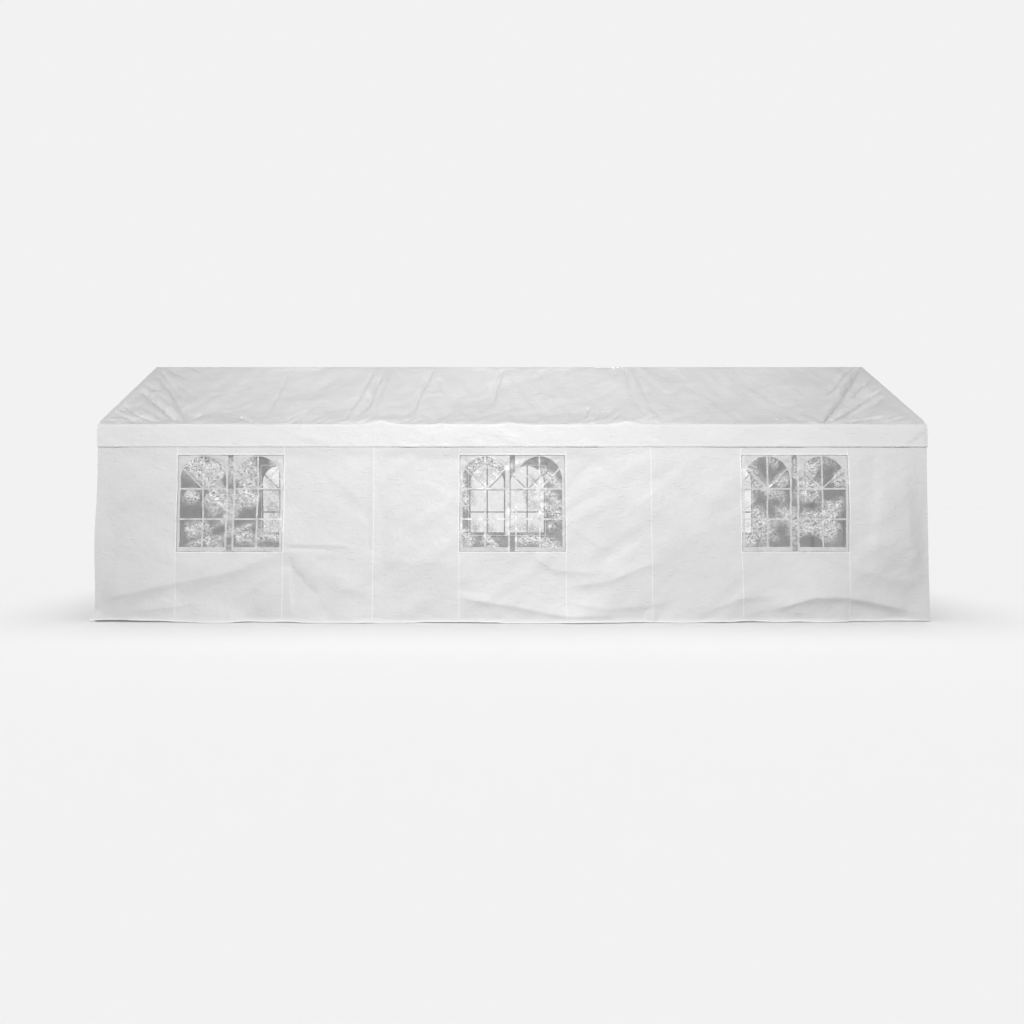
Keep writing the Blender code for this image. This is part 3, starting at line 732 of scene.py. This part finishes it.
class Film:
    """A crinkled clear film set in a wall, and a way to lay its printed bars on it."""

    def __init__(self, wall, centre, number, seed, step):
        half = WINDOW_WIDTH / 2
        self.wall = wall
        self.centre = centre
        self.lines = (
            np.linspace(centre - half, centre + half, round(WINDOW_WIDTH / step) + 1),
            np.linspace(WINDOW_SILL, WINDOW_HEAD, round((WINDOW_HEAD - WINDOW_SILL) / step) + 1),
        )
        x0, z = np.meshgrid(*self.lines, indexing="ij")
        u = x0 - centre
        edge = np.minimum(half - np.abs(u), np.minimum(z - WINDOW_SILL, WINDOW_HEAD - z))
        # Where the film is crinkled: this shapes its crinkles, and the film's material paints its highlights there
        crinkle_glint_zone = np.zeros_like(u)
        tension = np.zeros_like(u)
        for line, width in CRINKLES[number]:
            crinkle_glint_zone = np.maximum(crinkle_glint_zone, crease(u, z, line, 1.3 * width, 1.5, 1.01))
            tension = tension + crease(u, z, line, 0.5 * width, 0.20 * width)
        patches = smooth_step(-0.20, 0.40, noise(u, z, 0.17, seed))
        gap = hump(u, 0, 0.03) * smooth_step(-0.1, 0.3, noise(u, z, 0.10, seed + 8))
        crinkle_glint_zone = np.clip(crinkle_glint_zone + PATCHINESS[number] * patches + 0.6 * gap, 0, 1)
        for clear_u, clear_z, wide, high in CLEARINGS[number]:
            crinkle_glint_zone = crinkle_glint_zone * (1 - hump(u, clear_u, wide) * hump(z, clear_z, high))
        self.crinkle_glint_zone = np.maximum(crinkle_glint_zone, MILKINESS_AND_GLINTS[number])
        crinkle = 0.005 * folds(u, z, 32, 0.3, 0.05, seed + 1) + 0.005 * folds(u, z, -42, 0.3, 0.045, seed + 2)
        crinkle = crinkle + self.crinkle_glint_zone * (
            0.005 * crumple(u, z, 0.055, seed + 3) + 0.004 * noise(u, z, 0.022, seed + 4)
        )
        swell = 0.010 * noise(u, z, 0.5, seed + 5)
        base = between(wall.lines, wall.relief, x0, z) - FILM_SETBACK * smooth_step(0, 0.012, edge)
        self.relief = base + smooth_step(0.0, 0.06, edge) * (crinkle + swell + tension)

    def place(self, u, z, lift):
        x0 = self.centre + u
        relief = between(self.lines, self.relief, x0, z)
        return self.wall.place(x0, z, lift, relief)

    def sheet(self, name, material):
        x0, z = np.meshgrid(*self.lines, indexing="ij")
        parts = Parts()
        parts.add(self.wall.place(x0, z, 0.0, self.relief), flip=self.wall.flip)
        return parts.build(name, material, self.crinkle_glint_zone)

    def bar(self, parts, start, end, width, lift):
        u, z = ribbon(start, end, width, 0.01, np.linspace(-0.5, 0.5, 3))
        parts.add(self.place(u, z, lift * PRINT_LIFT), flip=self.wall.flip)

    def spandrel(self, parts, middle, low, high):
        """The print between an arch and the square corners above it."""
        head = WINDOW_HEAD - CLEAR_EDGE - ARCH_SPRING
        corners = [math.atan2(head, edge - middle) for edge in (low, high)]
        angles = np.array(sorted([*np.linspace(0, math.pi, 41), *corners], reverse=True))
        sides = np.where(np.cos(angles) < 0, low - middle, high - middle)
        with np.errstate(divide="ignore"):
            to_side = sides / np.cos(angles)
            to_top = head / np.sin(angles)
        outer = np.minimum(np.abs(to_side), np.abs(to_top))
        radius = LIGHT_HALF + (outer - LIGHT_HALF)[:, None] * np.linspace(0, 1, 12)[None, :]
        u = middle + np.cos(angles)[:, None] * radius
        z = ARCH_SPRING + np.sin(angles)[:, None] * radius
        parts.add(self.place(u, z, PRINT_LIFT), flip=self.wall.flip)

    def window_print(self, name, material):
        """The white print of a window: two arched lights side by side, with bars and spandrels."""
        parts = Parts()
        half = WINDOW_WIDTH / 2 - CLEAR_EDGE
        sill = WINDOW_SILL + CLEAR_EDGE
        for side in (-1, 1):
            middle = side * LIGHT_CENTRE
            inner = side * (LIGHT_CENTRE - LIGHT_HALF)
            outer = side * (LIGHT_CENTRE + LIGHT_HALF)
            gap = inner - side * STILE
            rim = side * half
            self.spandrel(parts, middle, min(gap, rim), max(gap, rim))
            for low, high in ((gap, inner), (outer, rim)):
                u = (low + high) / 2
                self.bar(parts, (u, LIGHT_FOOT), (u, ARCH_SPRING), abs(high - low), 1.0)
            foot = (sill + LIGHT_FOOT) / 2
            self.bar(parts, (gap, foot), (rim, foot), LIGHT_FOOT - sill, 1.0)
            for z in TRANSOMS:
                self.bar(parts, (inner, z), (outer, z), BAR, 1.2)
            self.bar(parts, (middle, LIGHT_FOOT), (middle, ARCH_SPRING + LIGHT_HALF), BAR, 1.4)
            for slant in (-1, 1):
                fan = ARCH_SPRING - TRANSOMS[-1]
                drop = fan * math.sqrt(0.5)
                length = drop + math.sqrt(drop**2 - fan**2 + LIGHT_HALF**2)
                tip = length * math.sqrt(0.5)
                self.bar(parts, (middle, TRANSOMS[-1]), (middle + slant * tip, TRANSOMS[-1] + tip), 0.8 * BAR, 1.6)
        return parts.build(name, material)


# Materials


def node_tree(name):
    material = bpy.data.materials.new(name)
    material.use_nodes = True
    tree = material.node_tree
    tree.nodes.clear()
    return material, tree


def add_node(tree, kind, inputs=None, **settings):
    node = tree.nodes.new(kind)
    for key, value in settings.items():
        setattr(node, key, value)
    for key, value in (inputs or {}).items():
        socket = node.inputs[key]
        if isinstance(value, bpy.types.NodeSocket):
            tree.links.new(value, socket)
        else:
            socket.default_value = value
    return node


def ramp(tree, fac, stops):
    node = add_node(tree, "ShaderNodeValToRGB", {"Fac": fac})
    elements = node.color_ramp.elements
    for index, (place, value) in enumerate(stops):
        if index < 2:
            element = elements[index]
            element.position = place
        else:
            element = elements.new(place)
        element.color = (value, value, value, 1)
    return node.outputs["Color"]


def bump(tree, height, strength, distance, below=None):
    inputs = {"Height": height, "Strength": strength, "Distance": distance}
    if below is not None:
        inputs["Normal"] = below
    return add_node(tree, "ShaderNodeBump", inputs).outputs[0]


def noise_fac(tree, place, scale, detail=2.0, roughness=0.5, stretch=(1, 1, 1)):
    mapped = add_node(tree, "ShaderNodeMapping", {"Vector": place, "Scale": stretch}).outputs[0]
    inputs = {"Vector": mapped, "Scale": scale, "Detail": detail, "Roughness": roughness}
    return add_node(tree, "ShaderNodeTexNoise", inputs).outputs["Fac"]


def maths(tree, operation, first, second):
    return add_node(tree, "ShaderNodeMath", {0: first, 1: second}, operation=operation).outputs[0]


def thin_lines(tree, fac, width):
    """1 along the lines where a noise crosses its middle, and 0 off them."""
    off = maths(tree, "ABSOLUTE", maths(tree, "SUBTRACT", fac, 0.5), 0.0)
    return ramp(tree, off, [(0.0, 1.0), (width, 0.0)])


def sheeting(name, albedo, shine, through):
    """Woven plastic sheeting: a faint tape weave, short creases, and light that comes through."""
    material, tree = node_tree(name)
    place = add_node(tree, "ShaderNodeTexCoord").outputs["Object"]
    cloud = noise_fac(tree, place, 1.7, 4.0)
    tone = ramp(tree, cloud, [(0.3, albedo * 0.97), (0.7, albedo * 1.02)])
    weave = add_node(tree, "ShaderNodeTexWave", {"Vector": place, "Scale": 110.0}, bands_direction="Z")
    warp = add_node(tree, "ShaderNodeTexWave", {"Vector": place, "Scale": 110.0}, bands_direction="X")
    tapes = maths(tree, "ADD", weave.outputs["Fac"], warp.outputs["Fac"])
    normal = bump(tree, tapes, 0.2, 0.0003)
    fine = noise_fac(tree, place, 13.0, 6.0, 0.6)
    normal = bump(tree, fine, 0.45, 0.014, normal)
    level = ramp(tree, noise_fac(tree, place, 9.0, 2.0, 0.5, (1, 1, 5)), [(0.62, 0.0), (0.72, 1.0)])
    normal = bump(tree, level, 0.5, 0.004, normal)
    upright = ramp(tree, noise_fac(tree, place, 9.0, 2.0, 0.5, (5, 5, 1)), [(0.64, 0.0), (0.74, 1.0)])
    normal = bump(tree, upright, 0.4, 0.003, normal)
    rough = ramp(tree, fine, [(0.3, shine - 0.05), (0.7, shine + 0.1)])
    surface = add_node(
        tree, "ShaderNodeBsdfPrincipled",
        {"Base Color": tone, "Roughness": rough, "Normal": normal, "Specular IOR Level": 0.4},
    )
    glow = add_node(tree, "ShaderNodeBsdfTranslucent", {"Color": (0.93, 0.93, 0.93, 1), "Normal": normal})
    mixed = add_node(tree, "ShaderNodeMixShader", {0: through, 1: surface.outputs[0], 2: glow.outputs[0]})
    add_node(tree, "ShaderNodeOutputMaterial", {"Surface": mixed.outputs[0]})
    return material


def painted_glint_lines(tree, place):
    """Short squiggly lines of painted highlight, where light would catch crinkled film."""
    bend = add_node(tree, "ShaderNodeTexNoise", {"Vector": place, "Scale": 14.0, "Detail": 1.0}).outputs["Color"]
    shift = add_node(
        tree, "ShaderNodeVectorMath", {0: bend, 1: (0.05, 0.05, 0.05), 2: place}, operation="MULTIPLY_ADD"
    ).outputs[0]
    wide = thin_lines(tree, noise_fac(tree, shift, 23.0, 2.0, 0.6, (1, 1, 1.5)), 0.065)
    fine = thin_lines(tree, noise_fac(tree, shift, 37.0, 1.0, 0.5, (1, 1, 1.4)), 0.080)
    return maths(tree, "MAXIMUM", wide, maths(tree, "MULTIPLY", fine, 0.8))


def clear_film(name):
    """Clear window film: see-through, with a faint milky veil and painted highlights: white lines where its
    crinkles would catch the light.
    """
    material, tree = node_tree(name)
    place = add_node(tree, "ShaderNodeTexCoord").outputs["Object"]
    crinkle_glint_zone = add_node(tree, "ShaderNodeAttribute", attribute_name="crinkle").outputs["Fac"]
    lines = painted_glint_lines(tree, place)
    # Painted highlights: the film turns white along the squiggly lines, over a faint milky veil
    glints_and_veil = maths(tree, "MULTIPLY_ADD", lines, 0.75)
    glints_and_veil.node.inputs[2].default_value = 0.08
    haze_and_glints = maths(tree, "ADD", maths(tree, "MULTIPLY", glints_and_veil, crinkle_glint_zone), 0.05)
    speck = noise_fac(tree, place, 60.0, 3.0, 0.6)
    normal = bump(tree, speck, 0.5, 0.003)
    gloss = add_node(
        tree, "ShaderNodeBsdfPrincipled",
        {"Base Color": (0.90, 0.90, 0.90, 1), "Roughness": 0.30, "Normal": normal, "Specular IOR Level": 0.5},
    )
    clear = add_node(tree, "ShaderNodeBsdfTransparent", {"Color": (0.98, 0.98, 0.98, 1)})
    mixed = add_node(tree, "ShaderNodeMixShader", {0: haze_and_glints, 1: clear.outputs[0], 2: gloss.outputs[0]})
    add_node(tree, "ShaderNodeOutputMaterial", {"Surface": mixed.outputs[0]})
    return material


def film_print(name):
    """White ink on the film, with painted highlights along its crinkles, and a little of what lies behind showing
    through.
    """
    material, tree = node_tree(name)
    place = add_node(tree, "ShaderNodeTexCoord").outputs["Object"]
    lines = painted_glint_lines(tree, place)
    # Painted highlights: the ink is lighter along the squiggly lines where its crinkles would catch the light
    tone = ramp(tree, lines, [(0.0, 0.58), (1.0, 0.68)])
    normal = bump(tree, noise_fac(tree, place, 40.0, 4.0, 0.6), 0.5, 0.004)
    ink = add_node(
        tree, "ShaderNodeBsdfPrincipled", {"Base Color": tone, "Roughness": 0.35, "Normal": normal}
    )
    clear = add_node(tree, "ShaderNodeBsdfTransparent", {"Color": (0.95, 0.95, 0.95, 1)})
    mixed = add_node(tree, "ShaderNodeMixShader", {0: 0.86, 1: clear.outputs[0], 2: ink.outputs[0]})
    add_node(tree, "ShaderNodeOutputMaterial", {"Surface": mixed.outputs[0]})
    return material


def moulded_plastic(name):
    """Grey moulded plastic of the zips' teeth and sliders."""
    material, tree = node_tree(name)
    place = add_node(tree, "ShaderNodeTexCoord").outputs["Object"]
    grain = noise_fac(tree, place, 70.0, 3.0)
    tone = ramp(tree, grain, [(0.3, 0.34), (0.7, 0.42)])
    normal = bump(tree, grain, 0.3, 0.0006)
    surface = add_node(
        tree, "ShaderNodeBsdfPrincipled", {"Base Color": tone, "Roughness": 0.38, "Normal": normal}
    )
    add_node(tree, "ShaderNodeOutputMaterial", {"Surface": surface.outputs[0]})
    return material


def coated_steel(name):
    """White powder coat with a faint orange-peel surface."""
    material, tree = node_tree(name)
    place = add_node(tree, "ShaderNodeTexCoord").outputs["Object"]
    peel = add_node(tree, "ShaderNodeTexNoise", {"Vector": place, "Scale": 420.0, "Detail": 2.0})
    dust = add_node(tree, "ShaderNodeTexNoise", {"Vector": place, "Scale": 9.0, "Detail": 5.0})
    tone = ramp(tree, dust.outputs["Fac"], [(0.3, 0.70), (0.7, 0.80)])
    rough = ramp(tree, dust.outputs["Fac"], [(0.3, 0.42), (0.7, 0.30)])
    bump = add_node(tree, "ShaderNodeBump", {"Height": peel.outputs["Fac"], "Strength": 0.15, "Distance": 0.0004})
    surface = add_node(
        tree, "ShaderNodeBsdfPrincipled",
        {"Base Color": tone, "Roughness": rough, "Normal": bump.outputs[0]},
    )
    add_node(tree, "ShaderNodeOutputMaterial", {"Surface": surface.outputs[0]})
    return material


# The roof and the walls are one sheeting; the roof's copy is painted lighter, 0.735 against 0.69, to make up for
# how the light falls on it
roof_cloth = sheeting("roof_sheeting", 0.735, 0.42, 0.10)
wall_cloth = sheeting("wall_sheeting", 0.69, 0.45, 0.10)
seam_cloth = sheeting("seam_tape", 0.80, 0.40, 0.06)
window_film = clear_film("window_film")
white_print = film_print("window_print")
zip_plastic = moulded_plastic("zip_plastic")
steel = coated_steel("coated_steel")


# Frame: the solids stay and take the steel's finish

for node_name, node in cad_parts.items():
    if node_name.startswith(("post", "rafter", "ridge", "eave", "end_tie")):
        node.data.materials.clear()
        node.data.materials.append(steel)

# Roof cover

front_slope = Slope(-1, 0.015, ROOF_CREASES, 0)
back_slope = Slope(1, 0.020, mirrored(ROOF_CREASES), 60)
for label, slope in (("front", front_slope), ("back", back_slope)):
    sheet = slope.sheet(f"roof_{label}_sheet", roof_cloth)
    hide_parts("roof_cover")
    trim = Parts()
    slope.hem(trim, 0.0006)
    for x in RAFTERS[1:3]:
        slope.seam(trim, x, 0.018, 0.0004)
    seams = trim.build(f"roof_{label}_seams", roof_cloth)
for label, end in (("left", -1), ("right", 1)):
    sheet = gable(f"{label}_gable_sheet", end, (front_slope, back_slope), roof_cloth)
    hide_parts("roof_cover")

# Long walls

x_marks = [-LONG_RUN, *RAFTERS[1:3], LONG_RUN]
z_marks = [HEM_LIFT, 0.035, WINDOW_SILL, WINDOW_HEAD, WALL_TOP]
holes = []
for centre in WINDOW_CENTRES:
    low_x, high_x = centre - WINDOW_WIDTH / 2, centre + WINDOW_WIDTH / 2
    x_marks.extend((low_x, high_x))
    holes.append((low_x, high_x, WINDOW_SILL, WINDOW_HEAD))
walls = (
    ("front", 0.0145, front_relief, front_hem, 0.008),
    ("back", 0.022, back_relief, other_hem, 0.012),
)
for label, step, relief, hem_rise, film_step in walls:
    wall = Wall(label, (x_marks, z_marks), step, relief, hem_rise)
    sheet = wall.sheet(f"{label}_wall_sheet", holes, wall_cloth)
    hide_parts(f"{label}_wall")
    trim = Parts()
    for low_x, high_x, low_z, high_z in holes:
        for x in (low_x, high_x):
            wall.strip(trim, (x, 0.03), (x, low_z - 0.01), 0.009, 0.0004)
            wall.strip(trim, (x, high_z + 0.01), (x, WALL_TOP), 0.009, 0.0004)
        for x in (low_x - 0.004, high_x + 0.004):
            wall.strip(trim, (x, low_z - 0.012), (x, high_z + 0.012), 0.014, 0.0012)
        for z in (low_z - 0.004, high_z + 0.004):
            wall.strip(trim, (low_x, z), (high_x, z), 0.014, 0.0012)
    for x in RAFTERS[1:3]:
        wall.strip(trim, (x, 0.03), (x, WALL_TOP), 0.009, 0.0003)
    wall.strip(trim, (-LONG_RUN, 0.010), (LONG_RUN, 0.010), 0.014, 0.0008)
    seams = trim.build(f"{label}_wall_seams", seam_cloth)
    for number, centre in enumerate(WINDOW_CENTRES, start=1):
        pattern = number - 1 if label == "front" else 3 - number
        film = Film(wall, centre, pattern, 40 * number + (0 if label == "front" else 300), film_step)
        pane = film.sheet(f"{label}_film_{number}", window_film)
        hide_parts(f"{label}_window_{number}")
        bars = film.window_print(f"{label}_print_{number}", white_print)

# End walls with their zipped doors

door = DOOR_WIDTH / 2
end_marks = ([-END_RUN, -door, door, END_RUN], [HEM_LIFT, 0.035, WINDOW_HEAD, WALL_TOP])
beside_door = [(-END_RUN, -door, 0, WALL_TOP), (door, END_RUN, 0, WALL_TOP), (-door, door, WINDOW_HEAD, WALL_TOP)]
for label, seed in (("left", 71), ("right", 83)):
    wall = Wall(label, end_marks, 0.020, end_relief(seed), other_hem)
    sheet = wall.sheet(f"{label}_end_sheet", [(-door, door, 0, WINDOW_HEAD)], wall_cloth)
    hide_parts(f"{label}_end_wall")
    flap = wall.sheet(f"{label}_flap_sheet", beside_door, wall_cloth)
    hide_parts(f"{label}_door_flap")
    trim = Parts()
    wall.strip(trim, (-END_RUN, 0.020), (-door, 0.020), 0.034, 0.0014)
    wall.strip(trim, (door, 0.020), (END_RUN, 0.020), 0.034, 0.0014)
    teeth = Parts()
    for x in (-door, door):
        zip_fastener(wall, x, 0.02, WINDOW_HEAD - 0.01, trim, teeth)
    wall.strip(trim, (-door - 0.02, WINDOW_HEAD), (door + 0.02, WINDOW_HEAD), 0.03, 0.0012)
    for x in (-0.34, 0.34):
        wall.strip(trim, (x, WINDOW_HEAD - 0.42), (x, WINDOW_HEAD + 0.01), 0.026, 0.0020)
        wall.strip(trim, (x, WINDOW_HEAD - 0.42), (x, WINDOW_HEAD - 0.385), 0.026, 0.0040)
    seams = trim.build(f"{label}_end_seams", seam_cloth)
    zips = teeth.build(f"{label}_door_zips", zip_plastic)


# Floor, light and camera


def build_floor():
    points = [(-60, -60, 0), (60, -60, 0), (60, 60, 0), (-60, 60, 0)]
    mesh = bpy.data.meshes.new("floor")
    mesh.from_pydata(points, [], [(0, 1, 2, 3)])
    floor = bpy.data.objects.new("floor", mesh)
    bpy.context.scene.collection.objects.link(floor)
    material, tree = node_tree("floor")
    surface = add_node(
        tree, "ShaderNodeBsdfPrincipled",
        {"Base Color": (FLOOR_TONE, FLOOR_TONE, FLOOR_TONE, 1), "Roughness": 0.9,
         "Specular IOR Level": 0.0},
    )
    add_node(tree, "ShaderNodeOutputMaterial", {"Surface": surface.outputs[0]})
    mesh.materials.append(material)
    floor.visible_diffuse = False
    return floor


def add_lamp(name, kind, power, floor, floor_only=False):
    """A lamp that lights either the tent alone or the floor alone, and isn't seen itself."""
    light = bpy.data.lights.new(name, kind)
    light.energy = power
    lamp = bpy.data.objects.new(name, light)
    bpy.context.scene.collection.objects.link(lamp)
    lamp.visible_camera = False
    lit = bpy.data.collections.new(f"{name}_receivers")
    lit.objects.link(floor)
    lit.collection_objects[0].light_linking.link_state = "INCLUDE" if floor_only else "EXCLUDE"
    lamp.light_linking.receiver_collection = lit
    return lamp


def add_softbox(name, power, size, place, aim, floor):
    lamp = add_lamp(name, "AREA", power, floor)
    lamp.data.shape = "RECTANGLE"
    lamp.data.size, lamp.data.size_y = size
    lamp.location = place
    lamp.rotation_mode = "QUATERNION"
    lamp.rotation_quaternion = (Vector(place) - Vector(aim)).to_track_quat("Z", "Y")


def build_world():
    """A pale surround, which lights the tent as a room does: most from the sides, least from below."""
    world = bpy.data.worlds.new("studio")
    bpy.context.scene.world = world
    world.use_nodes = True
    tree = world.node_tree
    tree.nodes.clear()
    seen = add_node(tree, "ShaderNodeLightPath").outputs["Is Camera Ray"]
    way = add_node(tree, "ShaderNodeTexCoord").outputs["Generated"]
    height = add_node(tree, "ShaderNodeSeparateXYZ", {"Vector": way}).outputs["Z"]
    level = maths(tree, "MULTIPLY_ADD", height, 0.5)
    level.node.inputs[2].default_value = 0.5
    light = add_node(tree, "ShaderNodeBackground", {"Color": ramp(tree, level, SKY_LIGHT)})
    pale = add_node(tree, "ShaderNodeBackground", {"Color": (BACKDROP, BACKDROP, BACKDROP, 1)})
    mixed = add_node(tree, "ShaderNodeMixShader", {0: seen, 1: light.outputs[0], 2: pale.outputs[0]})
    add_node(tree, "ShaderNodeOutputWorld", {"Surface": mixed.outputs[0]})


def build_camera():
    data = bpy.data.cameras.new("camera")
    data.lens = LENS
    data.sensor_width = 36
    data.shift_x, data.shift_y = SHIFT
    camera = bpy.data.objects.new("camera", data)
    bpy.context.scene.collection.objects.link(camera)
    camera.location = EYE
    camera.rotation_euler = (math.radians(90), 0, 0)
    bpy.context.scene.camera = camera


floor = build_floor()
build_world()
overhead = add_lamp("floor_light", "SUN", FLOOR_SUN, floor, floor_only=True)
overhead.data.angle = FLOOR_SUN_SPREAD
add_softbox("key_light", 890, (3.5, 1.5), (-0.2, -10.5, 6.0), (0, -1.5, 1.6), floor)
add_softbox("top_strip", 19, (7.0, 0.5), (0.0, 0.0, 5.0), (0.0, 0.0, 0.0), floor)
add_softbox("left_key", 100, (1.5, 1.5), (-8.5, -8.0, 5.0), (-3.0, -1.5, 1.6), floor)
add_softbox("right_key", 75, (1.5, 1.5), (8.5, -8.0, 5.0), (3.0, -1.5, 1.6), floor)
add_softbox("back_light", 540, (4.0, 1.5), (1.0, 10.0, 6.3), (0, 1.5, 1.6), floor)
add_softbox("left_light", 105, (2.5, 1.5), (-11.5, 1.5, 5.0), (-4.5, 0, 1.4), floor)
add_softbox("right_light", 120, (2.5, 1.5), (11.5, 1.5, 5.0), (4.5, 0, 1.4), floor)
build_camera()
bpy.context.scene.view_settings.view_transform = "Standard"
bpy.context.scene.view_settings.look = "None"
